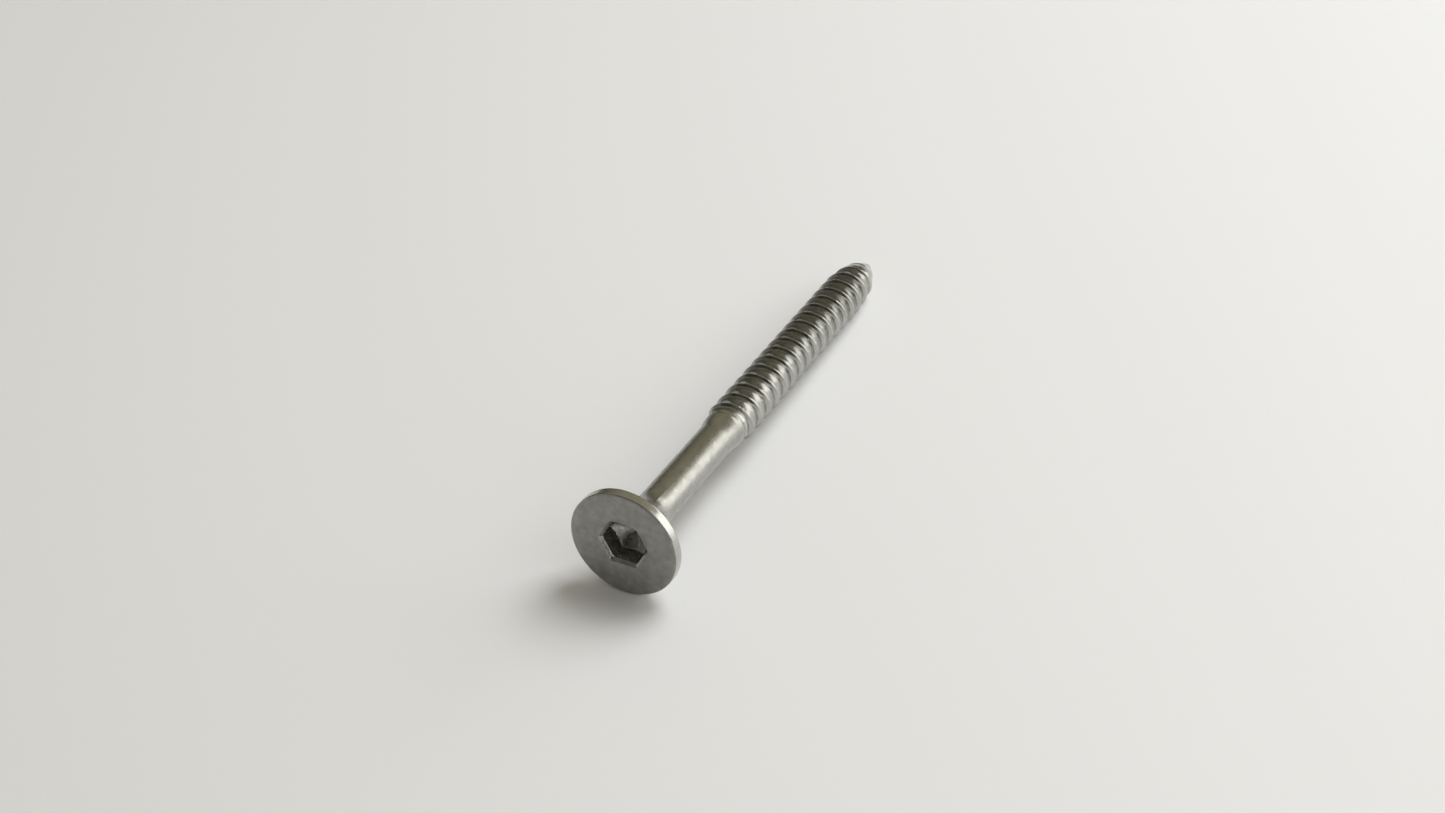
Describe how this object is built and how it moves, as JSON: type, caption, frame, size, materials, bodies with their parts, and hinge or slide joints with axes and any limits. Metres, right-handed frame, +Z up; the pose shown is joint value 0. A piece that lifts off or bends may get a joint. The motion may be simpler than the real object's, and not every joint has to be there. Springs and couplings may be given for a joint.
{
  "type": "wood screw",
  "caption": "Countersunk stainless wood screw with a wide flat head, hexagon socket drive, plain shank, rolled collar, partial thread and short rounded point.",
  "frame": {"origin": "centre of the head's flat face, on the screw's axis, at the mouth of the hexagon socket", "axes": "+Y along the screw's axis from the head to the point, as it lies on its side; +X runs through two opposite corners of the hexagon socket; +Z up"},
  "size_m": [0.014, 0.07, 0.014],
  "materials": {
    "head_steel": "matt pickled stainless steel with a fine mottled grain",
    "shank_steel": "satin drawn stainless steel with fine marks around the shank",
    "thread_steel": "bright rolled stainless steel with small dents and rolling marks"
  },
  "bodies": {
    "root": {"head": "head_steel", "neck": "shank_steel", "shank": "shank_steel", "collar": "thread_steel", "core": "thread_steel", "thread": "thread_steel", "point": "thread_steel"}
  },
  "joints": []
}
